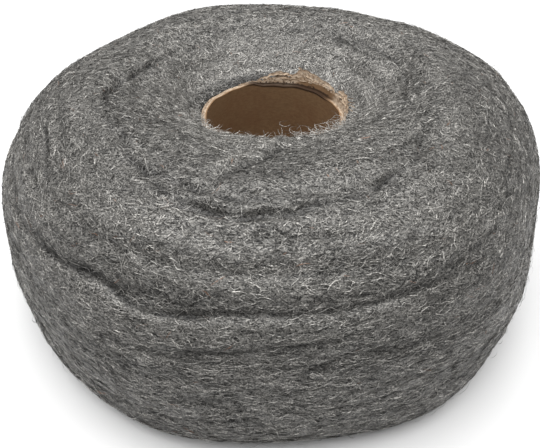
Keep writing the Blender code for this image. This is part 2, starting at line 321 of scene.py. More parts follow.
class Recipe:
    """A material while it is written: makes nodes and joins their sockets."""

    def __init__(self, name):
        self.material = bpy.data.materials.new(name)
        self.material.use_nodes = True
        self.tree = self.material.node_tree
        self.tree.nodes.clear()

    def node(self, kind, settings=None, sockets=None, output=0):
        """Add a node: first its settings, then the values or wires of its sockets."""
        made = self.tree.nodes.new(kind)
        for name, value in (settings or {}).items():
            setattr(made, name, value)
        for key, value in (sockets or {}).items():
            if isinstance(value, Wire):
                self.tree.links.new(value.socket, made.inputs[key])
            else:
                made.inputs[key].default_value = value
        return Wire(self, made.outputs[output]) if made.outputs else None

    def mix(self, amount, first, second):
        """One colour turning into another."""
        return self.node("ShaderNodeMix", {"data_type": "RGBA"}, {0: amount, 6: first, 7: second}, output=2)

    def attribute(self, name):
        """A value stored on the mesh's points."""
        return self.node("ShaderNodeAttribute", {"attribute_name": name}, output=2)

    def place(self):
        """Where the point lies, in the frame."""
        return self.node("ShaderNodeTexCoord", output=3)

    def vector(self, operation, first, second=None, output=0):
        """Vector maths on one or two places."""
        sockets = {0: first} if second is None else {0: first, 1: second}
        return self.node("ShaderNodeVectorMath", {"operation": operation}, sockets, output)

    def stretched(self, place, scale):
        """The same place with its own scale along each direction."""
        return self.vector("MULTIPLY", place, scale)

    def noise(self, place, scale, detail=3.0, roughness=0.55):
        """Grey noise around 0.5."""
        sockets = {"Vector": place, "Scale": scale, "Detail": detail, "Roughness": roughness}
        return self.node("ShaderNodeTexNoise", None, sockets)

    def bump(self, height, distance):
        """A normal from a height."""
        return self.node("ShaderNodeBump", None, {"Height": height, "Distance": distance})

    def surface(self, sockets):
        """Finish the recipe with one shader."""
        shader = self.node("ShaderNodeBsdfPrincipled", None, sockets)
        self.node("ShaderNodeOutputMaterial", None, {"Surface": shader})
        return self.material


def rgba(colour):
    """A colour property as a socket value."""
    return (colour[0], colour[1], colour[2], 1.0)


def ring_place(recipe, around, cells_round, lift):
    """A place that goes round the roll with a direction and up with a value."""
    ring = recipe.stretched(around, (cells_round, cells_round, 0.0))
    return recipe.vector("ADD", ring, recipe.node("ShaderNodeCombineXYZ", None, {2: lift}))


# The imported wool's streaks, as cells round the roll and per metre across it, its matted grain in
# cells per metre, and the noise values between which both turn from the painted shade of the gaps to fibre.
PACKED_STREAKS = (80.0, 1200.0)
MATTED_GRAIN = 1200.0
PACKED_CONTRAST = (0.43, 0.57)


def packed_wool_material(settings):
    """The wool's mass between the loose fibres: short streaks round the roll over finer matted grain, with
    painted shade in the gaps between them and in the creases.
    """
    recipe = Recipe("packed_wool")
    outward = recipe.vector("NORMALIZE", recipe.stretched(recipe.place(), (1.0, 1.0, 0.0)))
    cells_round, cells_across = PACKED_STREAKS
    streak_place = ring_place(recipe, outward, cells_round, recipe.attribute("across") * cells_across)
    streaks = recipe.noise(streak_place, 1.0, detail=1.0, roughness=0.6)
    matted = recipe.noise(recipe.place(), MATTED_GRAIN, detail=1.0, roughness=0.6)
    grain = streaks.between(*PACKED_CONTRAST) * 0.5 + matted.between(*PACKED_CONTRAST) * 0.5
    # Painted shade between the fibres: the gaps between the streaks are near black.
    colour = recipe.mix(grain, rgba(settings.shaded_gap_colour), rgba(settings.fibre_colour))
    # Painted shade in the creases and hollows.
    darkness = recipe.attribute("hollow") * settings.hollow_darkening
    colour = recipe.mix(darkness, colour, rgba(settings.crease_shade_colour))
    return recipe.surface({
        "Base Color": colour,
        "Metallic": settings.metallic,
        "Roughness": settings.roughness,
        "Normal": recipe.bump(streaks * 0.5 + matted * 0.5, settings.bump_height),
    })


# Painted glints: darker flecks break each fibre into bright stretches like glints; cells per
# metre, the noise values between them, and how dark.
FLECK_CELLS = 1300.0
FLECK_CONTRAST = (0.38, 0.62)
GLINT_FLECK_DARKNESS = 0.75


def fibre_material(settings):
    """Single fibres: each has its own tone, which also carries painted light and shade; a few have a touch
    of rust, darker flecks along them are painted glints, and creases give them painted shade.
    """
    recipe = Recipe("steel_fibre")
    tone = recipe.attribute("tone")
    colour = recipe.mix(tone, rgba(settings.dull_fibre_colour), rgba(settings.bright_fibre_colour))
    flecks = recipe.noise(recipe.place(), FLECK_CELLS, detail=1.0).between(*FLECK_CONTRAST)
    # Painted glints: flecks along each fibre turn darker.
    colour = recipe.mix(flecks * GLINT_FLECK_DARKNESS, colour, rgba(settings.dull_fibre_colour))
    colour = recipe.mix(recipe.attribute("rust"), colour, rgba(settings.rust_colour))
    # Painted shade in the creases and hollows.
    darkness = recipe.attribute("hollow") * settings.hollow_darkening
    colour = recipe.mix(darkness, colour, rgba(settings.crease_shade_colour))
    return recipe.surface({
        "Base Color": colour,
        "Metallic": settings.metallic,
        "Roughness": settings.roughness,
    })


# How weakly raw board reflects, and the fineness of its grain, its blotches and the frayed
# border of its cut edge, in cells per metre.
BOARD_SHEEN = 0.12
GRAIN_CELLS = 420.0
GRAIN_SQUEEZE = (1.0, 1.0, 2.4)
BLOTCH_CELLS = 55.0
FRAY_CELLS = 900.0

# The plies on the cut edge and the rumples of the loose ply, whose folds get painted shade: cells
# round the tube and per metre.
PLY_CELLS = (14.0, 1400.0)
RUMPLE_CELLS = (24.0, 700.0)

# Where the board's finish changes, in metres: depth of the pale edge under the rim, the plies'
# distance out from the bore, the loose ply's distance out from the tube, and the depths under
# the rim of the shade of the sliver, of the loose ply, and of that shade's lower end.
PALE_DEPTH = (0.0006, 0.0014)
EDGE_FRAY = 0.0012
CUT_START = (0.0004, 0.0009)
LOOSE_START = (0.0004, 0.0012)
SLIVER_SHADE = (-0.0034, -0.0028)
PLY_SHADE = (-0.0010, -0.0004)
PLY_SHADE_END = (0.0004, 0.0016)
SHADE_FRAY = 0.0008

# Where the loose ply shades the board behind it.
TEAR_MIDDLE = math.radians(74.0)
TEAR_REACH = math.radians(40.0)

# Where a straight sliver stands off the board and shades more of it.
SLIVER_MIDDLE = math.radians(49.0)
SLIVER_REACH = math.radians(19.0)
FACING_BLUR = 0.12


def facing_share(recipe, around, middle, reach):
    """1 on the part of the tube that lies within an angle of a direction, 0 elsewhere."""
    facing = recipe.vector("DOT_PRODUCT", around, (math.cos(middle), math.sin(middle), 0.0), output=1)
    return facing.between(math.cos(reach + FACING_BLUR), math.cos(reach - FACING_BLUR))


def board_material(settings, bore_radius, outer_radius):
    """Brown board with paper grain, pale where it is cut or torn, with painted shade in the loose ply's
    rumples and painted shadow under the sliver and behind the loose ply.
    """
    recipe = Recipe("kraft_board")
    place = recipe.place()
    flat = recipe.stretched(recipe.vector("SUBTRACT", place, (AXIS[0], AXIS[1], 0.0)), (1.0, 1.0, 0.0))
    radius = recipe.vector("LENGTH", flat, output=1)
    around = recipe.vector("NORMALIZE", flat)
    drop = recipe.attribute("drop")
    grain = recipe.noise(recipe.stretched(place, GRAIN_SQUEEZE), GRAIN_CELLS, detail=4.0)
    blotch = recipe.noise(place, BLOTCH_CELLS)
    fray = recipe.noise(place, FRAY_CELLS)
    plies = recipe.noise(ring_place(recipe, around, PLY_CELLS[0], radius * PLY_CELLS[1]), 1.0, detail=2.0)
    rumple_place = ring_place(recipe, around, RUMPLE_CELLS[0], drop * RUMPLE_CELLS[1])
    rumple = recipe.noise(rumple_place, 1.0, detail=2.0).between(0.50, 0.66)

    colour = recipe.mix(
        grain.between(0.3, 0.75) * 0.5, rgba(settings.board_colour), rgba(settings.board_grain_and_shadow)
    )
    colour = recipe.mix(blotch.between(0.4, 0.7) * 0.35, colour, rgba(settings.board_red))
    tone = fray.between(0.25, 0.75) * 0.4 + plies.between(0.40, 0.62) * 0.6
    torn = recipe.mix(tone, rgba(settings.torn_dark), rgba(settings.torn_colour))
    loose = (radius - outer_radius).between(*LOOSE_START)
    # Painted shade in the folds of the loose ply's rumples.
    torn = recipe.mix(rumple * loose * 0.5, torn, rgba(settings.ply_shadow_colour))
    pale = 1 - (drop + (fray - 0.5) * EDGE_FRAY).between(*PALE_DEPTH)
    colour = recipe.mix(pale * (radius - bore_radius).between(*CUT_START), colour, torn)

    frayed = drop + (rumple - 0.5) * SHADE_FRAY
    under_sliver = facing_share(recipe, around, SLIVER_MIDDLE, SLIVER_REACH) * frayed.between(*SLIVER_SHADE)
    # Painted shadow under the sliver, in the board's grain colour.
    colour = recipe.mix(under_sliver * pale, colour, rgba(settings.board_grain_and_shadow))
    under_ply = frayed.between(*PLY_SHADE) * (1 - drop.between(*PLY_SHADE_END))
    under_ply = facing_share(recipe, around, TEAR_MIDDLE, TEAR_REACH) * under_ply
    # Painted shadow of the loose ply on the board behind it.
    colour = recipe.mix(under_ply * 0.92, colour, rgba(settings.ply_shadow_colour))
    return recipe.surface({
        "Base Color": colour,
        "Metallic": 0.0,
        "Roughness": settings.board_roughness,
        "Specular IOR Level": BOARD_SHEEN,
        "Normal": recipe.bump(grain * 0.5 + fray * 0.5, settings.board_bump),
    })


# Meshes


def mesh_from_grid(name, points, faces, values, places):
    """A mesh from arrays: points, four-cornered faces, per-point values, per-corner bake places."""
    mesh = bpy.data.meshes.new(name)
    mesh.vertices.add(len(points))
    mesh.vertices.foreach_set("co", np.ascontiguousarray(points, dtype=np.float32).ravel())
    mesh.loops.add(faces.size)
    mesh.loops.foreach_set("vertex_index", faces.astype(np.int32).ravel())
    mesh.polygons.add(len(faces))
    mesh.polygons.foreach_set("loop_start", np.arange(len(faces), dtype=np.int32) * 4)
    mesh.update(calc_edges=True)
    mesh.validate()
    layer = mesh.uv_layers.new(name="OFBake")
    layer.data.foreach_set("uv", np.ascontiguousarray(places, dtype=np.float32).ravel())
    for key, value in values.items():
        store = mesh.attributes.new(key, "FLOAT", "POINT")
        store.data.foreach_set("value", np.ascontiguousarray(value, dtype=np.float32).ravel())
    mesh.polygons.foreach_set("use_smooth", np.ones(len(faces), dtype=bool))
    mesh.update()
    return mesh


def add_piece(name, mesh, material):
    """Put a piece in the scene; it belongs to the roll."""
    piece = bpy.data.objects.new(name, mesh)
    mesh.materials.append(material)
    bpy.context.scene.collection.objects.link(piece)
    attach(piece, BODY)
    return piece


# Creases pressed into the wool, as they run over the top: angle in degrees and share of the
# outer radius, then depth and half width in millimetres. A negative depth is a raised fold.
TOP_CREASES = (
    (((205, 0.91), (214, 0.93), (224, 0.94), (240, 0.925)), 2.4, 2.2),
    (((238, 0.925), (245, 0.94), (250, 0.95), (257, 0.93), (265, 0.92)), 2.5, 2.0),
    (((262, 0.92), (275, 0.915), (288, 0.915), (297, 0.925)), 1.5, 1.6),
    (((298, 0.92), (311, 0.91), (330, 0.88)), 1.5, 1.7),
    (((219, 0.585), (238, 0.67), (249, 0.725), (262, 0.75)), 2.2, 2.0),
    (((260, 0.75), (275, 0.72), (290, 0.70), (305, 0.66), (317, 0.60)), 1.7, 1.8),
    (((236, 0.645), (250, 0.67), (262, 0.70), (286, 0.705)), 1.7, 1.7),
    (((256, 0.63), (261, 0.545), (272, 0.40), (277, 0.35)), 3.0, 5.0),
    (((206, 0.60), (188, 0.555), (175, 0.51), (156, 0.48)), 2.0, 1.8),
    (((159, 0.495), (136, 0.485), (108, 0.43)), 1.2, 1.6),
    (((194, 0.75), (204, 0.78), (218, 0.83)), 2.0, 1.8),
    (((60, 0.47), (33, 0.51), (22, 0.50), (1, 0.465)), 1.6, 1.8),
    (((352, 0.45), (346, 0.46), (315, 0.615)), 1.1, 1.6),
    (((358, 0.795), (350, 0.82), (328, 0.82)), 1.5, 1.8),
    (((252, 0.57), (258, 0.50), (265, 0.38), (273, 0.30)), -2.6, 6.0),
    (((-14, 0.41), (22, 0.45), (58, 0.43)), -0.9, 3.0),
    (((96, 0.62), (112, 0.60), (132, 0.62)), 1.4, 2.4),
    (((40, 0.72), (62, 0.70), (84, 0.72)), 1.4, 2.4),
)

# Creases on the side: angle in degrees and height in millimetres, then depth and half width.
SIDE_CREASES = (
    (((241, 87), (250, 86), (264, 88)), -0.5, 2.4),
    (((252, 76.5), (262, 79), (270, 82), (280, 83.5)), 1.8, 1.7),
    (((272, 65), (279, 72), (283, 76), (290, 74)), 2.6, 1.9),
    (((236, 25), (252, 31), (268, 41)), 2.0, 1.7),
    (((253, 49), (267, 52)), 1.3, 1.6),
    (((247, 58), (252, 60), (257, 66)), 1.5, 1.6),
    (((258, 54), (268, 58), (279, 57)), 1.1, 1.6),
    (((277, 42), (293, 43)), 1.4, 1.6),
    (((297, 48), (315, 46)), 1.2, 1.8),
    (((350, 60), (365, 56), (380, 58)), 1.6, 2.4),
    (((80, 46), (100, 42), (118, 45)), 1.6, 2.4),
    (((150, 66), (168, 60), (186, 62)), 1.6, 2.4),
)

# Multiplies every crease's depth and half width, how far a crease wanders in metres, over how
# many degrees it fades out before and after its ends, and how open it is: the mean, how much that
# varies, the least and the most.
CREASE_DEPTH = 0.75
CREASE_WIDTH = 0.85
CREASE_WANDER = 0.0009
CREASE_LANES = 7                # so many wander in their own way
CREASE_FADE = (3.0, 5.0)
CREASE_OPENNESS = (0.80, 0.60, 0.15, 1.1)

# The soft swellings beside a crease: share of its depth, place and width in half widths.
CREASE_SWELLS = (
    (0.35, -2.4, 1.5),
    (0.25, 2.4, 1.6),
)

# The painted shade in the narrow gap at the bottom of a crease and round it: darkness and width in
# half widths. A crease of the full depth in millimetres gets the full painted shade.
CREASE_SHADES = (
    (1.0, 0.40),
    (0.24, 1.1),
)
CREASE_FULL_DEPTH = 2.2
CREASE_FRAY = 0.5               # how far fibres blur a crease's border, in millimetres
# Painted highlight on the raised folds: how much it pales the fibres, and the fold height in millimetres at
# which it is full.
RIDGE_PAINTED_LIGHT = 0.9
RIDGE_FULL_HEIGHT = 2.0         # a fold of this height in millimetres is fully pale

# The painted shadow of the tube's rim on the wool behind it, which fades between two distances from
# the mouth in millimetres.
RIM_SHADOW_MIDDLE = math.radians(122.0)
RIM_SHADOW_REACH = math.radians(70.0)
RIM_SHADOW_DARKNESS = 0.9
RIM_SHADOW_FADE = (6.0, 13.0)

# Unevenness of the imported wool: cells round, cells across, size in millimetres.
WOOL_UNEVENNESS = (
    (22, 20, 0.22),
    (60, 50, 0.08),
    (150, 130, 0.05),
)


def crease_line(surface, number, path, find_across, angle):
    """Where a crease runs at an angle: its distance across the turns, and how open it is."""
    degrees = np.array([point[0] for point in path], dtype=float)
    lines = np.array([find_across(*point) for point in path])
    order = np.argsort(degrees)
    degrees, lines = degrees[order], lines[order]
    middle = 0.5 * (degrees[0] + degrees[-1])
    around = np.mod(np.degrees(angle) - middle + 180.0, 360.0) - 180.0 + middle
    lane = np.full_like(around, (number % CREASE_LANES) / CREASE_LANES)
    line = np.interp(around, degrees, lines) + CREASE_WANDER * round_noise(71, 70, CREASE_LANES, angle, lane)
    before, after = CREASE_FADE
    ends = smooth_step(around, degrees[0] - before, degrees[0] + after)
    ends = ends * (1.0 - smooth_step(around, degrees[-1] - after, degrees[-1] + before))
    mean, change, least, most = CREASE_OPENNESS
    return line, ends * np.clip(mean + change * round_noise(72, 90, CREASE_LANES, angle, lane), least, most)


def all_creases(surface, angle):
    """Every crease of the top and the side at the given angles."""
    for number, (path, depth, half_width) in enumerate(TOP_CREASES):
        line, opened = crease_line(surface, number, path, surface.across_at_radius, angle)
        yield line, opened, depth, half_width * MM
    for number, (path, depth, half_width) in enumerate(SIDE_CREASES):
        line, opened = crease_line(surface, number + 3, path, surface.across_at_height, angle)
        yield line, opened, depth, half_width * MM


def crease_push(surface):
    """How far the creases move each grid point, with a soft swelling on both their sides."""
    total = np.zeros_like(surface.radius)
    across = surface.across[:, None]
    for line, opened, depth, half_width in all_creases(surface, surface.angles):
        away = (across - line[None, :]) / (half_width * CREASE_WIDTH)
        shape = -np.exp(-away * away)
        for share, place, width in CREASE_SWELLS:
            shape += share * np.exp(-(((away - place) / width) ** 2))
        total += CREASE_DEPTH * depth * MM * opened[None, :] * shape
    return total


def crease_shade(surface, angle, across):
    """Painted shade of the narrow gap at the bottom of each crease, and the painted shadow of the rim on the
    wool behind the mouth, for any points of the surface.
    """
    dark = np.zeros(np.broadcast(angle, across).shape)
    for line, opened, depth, half_width in all_creases(surface, angle):
        away = np.abs(across - line) / half_width
        gap = sum(darkness * np.exp(-((away / width) ** 2)) for darkness, width in CREASE_SHADES)
        dark = np.maximum(dark, opened * min(1.0, max(0.0, depth / CREASE_FULL_DEPTH)) * gap)
    # Painted shadow of the rim on the wool behind the mouth.
    behind = smooth_step(np.cos(angle - RIM_SHADOW_MIDDLE), math.cos(RIM_SHADOW_REACH), 1.0)
    inwards = across - surface.parts["top"][0]
    near_mouth = 1.0 - smooth_step(inwards, RIM_SHADOW_FADE[0] * MM, RIM_SHADOW_FADE[1] * MM)
    return np.clip(np.maximum(dark, RIM_SHADOW_DARKNESS * behind * near_mouth), 0.0, 1.0)


def ridge_share(surface, angle, across):
    """Share of the painted highlight on the folds: 1 along the high folds, less along low ones, 0 elsewhere.
    """
    share = np.zeros(np.broadcast(angle, across).shape)
    for line, opened, depth, half_width in all_creases(surface, angle):
        if depth < 0.0:
            paleness = opened * min(1.0, -depth / RIDGE_FULL_HEIGHT)
            share = np.maximum(share, paleness * np.exp(-(((across - line) / half_width) ** 2)))
    return share


def prepare_surface(settings):
    """Read the wound surface, press the creases in, make it uneven and work out the painted shade of its
    hollows and creases.
    """
    surface = WoundSurface()
    surface.relax_ribs(RIB_SMOOTHING, RIB_SHARE)
    angle = np.broadcast_to(surface.angles[None, :], surface.radius.shape)
    share = np.broadcast_to((surface.across / surface.across[-1])[:, None], surface.radius.shape)
    distance = crease_push(surface)
    for seed, (cells_round, cells_across, size) in enumerate(WOOL_UNEVENNESS):
        lumps = round_noise(seed + 11, cells_round, cells_across, angle, share)
        distance += size * MM * settings.unevenness * lumps
    surface.push(distance * surface.free_share()[:, None])
    # Painted shade: the hollows and the gaps of the creases darken the wool.
    surface.hollow = hollow_of(surface)
    gap = crease_shade(surface, angle, np.broadcast_to(surface.across[:, None], surface.radius.shape))
    surface.hollow = np.maximum(surface.hollow * HOLLOW_SHARE, gap)
    return surface


# For the painted shade in hollows, a point is compared with the mean of its neighbours across the
# turns: how many on each side, their blur, and the depths in millimetres at which that shade starts
# and is full.
HOLLOW_ROWS = 6
HOLLOW_BLUR = 3.0
HOLLOW_DEPTH = (0.05, 1.1)
HOLLOW_SHARE = 0.6              # how dark a hollow is against the gap of a crease


def hollow_of(surface):
    """Painted shade: 0 on open faces, 1 in the deepest creases, from how far a point lies under its
    surroundings.
    """
    points = surface.points
    blurred = points.copy()
    weight_sum = 1.0
    for step in range(1, HOLLOW_ROWS + 1):
        weight = math.exp(-0.5 * (step / HOLLOW_BLUR) ** 2)
        blurred = blurred + weight * (np.roll(points, step, axis=0) + np.roll(points, -step, axis=0))
        weight_sum += 2.0 * weight
    blurred /= weight_sum
    under = np.sum((blurred - points) * surface.normals, axis=-1)
    return smooth_step(under, HOLLOW_DEPTH[0] * MM, HOLLOW_DEPTH[1] * MM)


# The prepared surface, once it has been read.
SURFACE = {}


def wound_surface():
    """The prepared surface, read once and shared by the wool's pieces."""
    if "wool" not in SURFACE:
        SURFACE["wool"] = prepare_surface(bpy.context.scene.steel_wool)
    return SURFACE["wool"]


def make_packed_wool(settings):
    """The wool's mass, as a closed grid over the wound surface."""
    surface = wound_surface()
    rows, columns = surface.radius.shape
    points = surface.points - surface.normals * settings.body_inset
    points[..., 2] = np.maximum(points[..., 2], 0.0)
    index = np.arange(rows * columns).reshape(rows, columns)
    next_row = np.roll(index, -1, axis=0)
    faces = np.stack([index, np.roll(index, -1, axis=1), np.roll(next_row, -1, axis=1), next_row], axis=-1)
    faces = faces.reshape(-1, 4)
    left, upper = np.meshgrid(np.arange(columns) / columns, np.arange(rows) / rows)
    right, lower = left + 1.0 / columns, upper + 1.0 / rows
    places = np.stack([left, upper, right, upper, right, lower, left, lower], axis=-1)
    values = {
        "across": np.broadcast_to(surface.across[:, None], surface.radius.shape),
        "hollow": surface.hollow,
    }
    mesh = mesh_from_grid("packed_wool", points.reshape(-1, 3), faces, values, places)
    piece = add_piece("packed_wool", mesh, packed_wool_material(settings))
    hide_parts(WOOL_NODE)
    return piece


# One bed of fibres for each part of the roll: name, first and last edge across the turns as
# (part, share of the part), number, length in millimetres, spread of their directions in
# degrees at both edges, their width against the usual one, and seed.
FIBRE_BEDS = (
    ("dish_fibres", ("top", 0.0), ("top", 1.0), 25500, 4.0, (85.0, 62.0), 1.15, 3),
    ("crown_fibres", ("top", 0.92), ("shoulder", 0.55), 31500, 4.4, (56.0, 34.0), 1.00, 5),
    ("shoulder_fibres", ("shoulder", 0.50), ("side", 0.10), 31000, 5.4, (34.0, 22.0), 1.10, 7),
    ("side_fibres", ("side", 0.02), ("side", 1.0), 31000, 6.0, (22.0, 26.0), 1.45, 9),
    ("underside_fibres", ("underside", 0.0), ("underside", 0.98), 2500, 12.0, (34.0, 40.0), 1.20, 13),
)
FIBRE_POINTS = 4

# What makes a fibre's tone, from dull to bright: its own chance, the lock that it lies in, the
# streak of turns that it lies in, and how high it lies, which is painted shade on the lower fibres.
OWN_TONE = 0.53
OWN_DRAW = (0.55, 0.55)         # most fibres are dull or bright, few lie between
LOCK_TONE = 0.20
LOCK_MEAN = 0.48
LOCK_SPREAD = 0.95
STREAK_TONE = 0.13
LIFT_PAINTED_SHADE = 0.06

# Locks and streaks: cells round the roll and cells across the turns.
LOCK_CELLS = (400, 560)
STREAK_CELLS = (20, 130)

# The painted light that makes the fibres paler round the tube, in millimetres from the mouth: its
# reach, how much farther it reaches behind than at the sides, and how much farther beside the
# diagonal fold.
COLLAR_REACH = 42.0
COLLAR_SWAY = 8.0
COLLAR_START = 0.3              # where it starts to fade, as a share of its reach
FOLD_EXTRA = 24.0
FOLD_SIDE = math.radians(240.0)
FOLD_REACH = math.radians(24.0)

# Painted shade on the turns in front of the tube: how much darker they are, between two
# distances from the mouth in millimetres at either end.
FRONT_PAINTED_SHADE = 0.16
FRONT_START = (34.0, 44.0)
FRONT_END = (74.0, 90.0)

# How rusty a rusty fibre is, and how high over the wool a fibre gets only half the painted shade of a
# crease.
RUST_DRAW = (0.4, 0.9)
HALF_DARK_LIFT = 0.0015


def fibre_mesh(name, centres, sides, values):
    """Flat fibres: one strip of faces along each line of centres."""
    count, points, _ = centres.shape
    corners = np.stack([centres + sides, centres - sides], axis=2).reshape(-1, 3)
    start = np.arange(count)[:, None] * points * 2 + np.arange(points - 1)[None, :] * 2
    faces = np.stack([start, start + 1, start + 3, start + 2], axis=-1).reshape(-1, 4)
    cells = int(math.ceil(math.sqrt(count)))
    cell_x = (np.arange(count) % cells)[:, None] / cells
    cell_y = (np.arange(count) // cells)[:, None] / cells
    margin = 0.12 / cells
    step = (1.0 / cells - 2.0 * margin) / (points - 1)
    left = cell_x + margin + np.arange(points - 1)[None, :] * step
    low = np.broadcast_to(cell_y + margin, left.shape)
    high = low + (1.0 / cells - 2.0 * margin)
    places = np.stack([left, low, left, high, left + step, high, left + step, low], axis=-1)
    doubled = {key: np.repeat(value.reshape(count, points), 2, axis=1) for key, value in values.items()}
    return mesh_from_grid(name, corners, faces, doubled, places)


# How a fibre's direction swings and its height rises from end to end, in radians; how its height
# is drawn between the lowest and the highest; how far it rises, as shares of the lift; and how
# much narrower its tips are.
SNAKE_TURN = 7.0
RISE_TURN = 5.0
LIFT_DRAW = (1.4, 3.4)
RISE_DRAW = (0.05, 0.35)
TIP_TAPER = 0.75


def unit(vectors):
    """The same directions, one long."""
    return vectors / np.maximum(np.linalg.norm(vectors, axis=-1, keepdims=True), 1e-9)


def fibre_paths(surface, rng, start_across, angle, length, points, spread, settings):
    """Centre lines that follow the turns, each with its own direction, bend and lift."""
    count = len(angle)
    place = np.linspace(-0.5, 0.5, points)[None, :]
    radius = surface.value_at(surface.radius, angle, start_across)
    heading = rng.normal(0.0, 1.0, count) * spread
    bend = rng.normal(0.0, settings.fibre_bend, count)
    snake = rng.normal(0.0, settings.fibre_snake, count)
    phase = rng.uniform(0.0, 2.0 * math.pi, (2, count))
    turned = heading[:, None] + bend[:, None] * length[:, None] * place
    turned += snake[:, None] * np.sin(SNAKE_TURN * place + phase[0][:, None])
    stride = length[:, None] / (points - 1)
    along = np.cumsum(np.cos(turned) * stride, axis=1)
    across = np.cumsum(np.sin(turned) * stride, axis=1)
    along -= along.mean(axis=1, keepdims=True)
    across -= across.mean(axis=1, keepdims=True)
    across += start_across[:, None]
    around = angle[:, None] + along / np.maximum(radius, 10.0 * MM)[:, None]
    point, normal = surface.at(around, np.clip(across, surface.across[0], surface.across[-1]))
    lift = rng.beta(*LIFT_DRAW, count) * (settings.fibre_lift + settings.fibre_sink) - settings.fibre_sink
    rise = rng.uniform(*RISE_DRAW, count) * settings.fibre_lift
    lift = lift[:, None] + rise[:, None] * np.sin(RISE_TURN * place + phase[1][:, None])
    return point + normal * lift[..., None], normal, around, across, lift


def fibre_strips(rng, centres, normals, width, settings):
    """Half-width vectors of flat fibres, each rolled its own way."""
    tangent = unit(np.gradient(centres, axis=1))
    flat = unit(np.cross(tangent, normals))
    roll = rng.normal(0.0, settings.fibre_roll, len(centres))[:, None, None]
    turned = flat * np.cos(roll) + normals * np.sin(roll)
    points = centres.shape[1]
    taper = 1.0 - TIP_TAPER * np.abs(np.linspace(-1.0, 1.0, points)) ** 3
    return turned * (0.5 * width[:, None] * taper[None, :])[..., None]


def collar_share(surface, around, across):
    """Share of the painted light round the mouth: 1 at the tube's mouth, 0 beyond the collar."""
    beside_fold = smooth_step(np.cos(around - FOLD_SIDE), math.cos(FOLD_REACH), 1.0)
    reach = (COLLAR_REACH + COLLAR_SWAY * np.sin(around) + FOLD_EXTRA * beside_fold) * MM
    return 1.0 - smooth_step(across - surface.parts["top"][0], COLLAR_START * reach, reach)


def front_share(surface, around, across):
    """Share of the painted shade in front of the tube: 1 on the turns there, 0 elsewhere."""
    inwards = (across - surface.parts["top"][0]) / MM
    front = smooth_step(-np.sin(around), 0.3, 0.9) * smooth_step(inwards, *FRONT_START)
    return front * (1.0 - smooth_step(inwards, *FRONT_END))


def fibre_values(surface, rng, around, across, lift, settings):
    """Tone, with its painted light and shade, rust, and the painted shade of hollows and creases, for each
    fibre's points.
    """
    count, points = around.shape
    own = rng.beta(*OWN_DRAW, count)[:, None]
    share = np.clip(across / surface.across[-1], 0.0, 1.0)
    locks = np.clip(LOCK_MEAN + LOCK_SPREAD * round_noise(41, *LOCK_CELLS, around, share), 0.0, 1.0)
    streaks = round_noise(42, *STREAK_CELLS, around, share)
    tone = OWN_TONE * own + LOCK_TONE * locks + STREAK_TONE * streaks
    # Painted shade: fibres that lie lower are darker.
    tone += LIFT_PAINTED_SHADE * smooth_step(lift, 0.0, settings.fibre_lift)
    # Painted light: the fibres round the mouth and along the raised folds are paler.
    collar_light = settings.mouth_painted_light * collar_share(surface, around, across)
    tone += np.maximum(collar_light, RIDGE_PAINTED_LIGHT * ridge_share(surface, around, across)) * (1.0 - tone)
    # Painted shade on the turns in front of the tube.
    tone = np.clip(tone * (1.0 - FRONT_PAINTED_SHADE * front_share(surface, around, across)), 0.0, 1.0)
    rust = (rng.random(count) < settings.rust_share)[:, None] * rng.uniform(*RUST_DRAW, count)[:, None]
    frayed = across + rng.normal(0.0, CREASE_FRAY * MM, count)[:, None]
    # Painted shade of hollows and creases, halved on fibres that lie high.
    hollow = HOLLOW_SHARE * surface.value_at(surface.hollow, around, across)
    hollow = np.maximum(hollow, crease_shade(surface, around, frayed))
    hollow = hollow * (1.0 - 0.5 * smooth_step(lift, 0.0, HALF_DARK_LIFT))
    return {
        "tone": np.broadcast_to(tone, (count, points)),
        "rust": np.broadcast_to(rust, (count, points)),
        "hollow": hollow,
    }


def even_starts(surface, rng, low, high, count):
    """Places spread evenly over the face between two lines across the turns."""
    across = rng.uniform(low, high, 4 * count)
    angle = rng.uniform(0.0, 2.0 * math.pi, 4 * count)
    radius = surface.value_at(surface.radius, angle, across)
    keep = rng.random(4 * count) < radius / surface.radius.max()
    return across[keep][:count], angle[keep][:count]


def off_floor(centres):
    """The same centre lines, held above the floor."""
    centres[..., 2] = np.maximum(centres[..., 2], FLOOR_GAP)
    return centres


def make_fibre_bed(settings, material, bed):
    """One bed of fibres laid over its part of the roll."""
    name, first, last, count, length, spread, thickness, seed = bed
    surface = wound_surface()
    rng = np.random.default_rng(seed)
    low, high = surface.edge(*first), surface.edge(*last)
    across, angle = even_starts(surface, rng, low, high, count)
    lengths = rng.uniform(0.4, 1.6, len(angle)) * length * MM * settings.fibre_length
    share = (across - low) / (high - low)
    spreads = np.radians(spread[0] + (spread[1] - spread[0]) * share)
    centres, normals, around, lines, lift = fibre_paths(
        surface, rng, across, angle, lengths, FIBRE_POINTS, spreads, settings
    )
    widths = rng.uniform(0.5, 1.5, len(angle)) * settings.fibre_width * thickness
    sides = fibre_strips(rng, centres, normals, widths, settings)
    values = fibre_values(surface, rng, around, lines, lift, settings)
    mesh = fibre_mesh(name, off_floor(centres), sides, values)
    return add_piece(name, mesh, material)


# Loose fibres all over the roll: length in millimetres, least and greatest spread of their
# directions in degrees, and their width against the usual one.
STRAY_COUNT = 3000
STRAY_POINTS = 6
STRAY_LENGTH = 10.0
STRAY_SPREAD = (30.0, 70.0)
STRAY_THICKNESS = 0.8
STRAY_SEED = 23


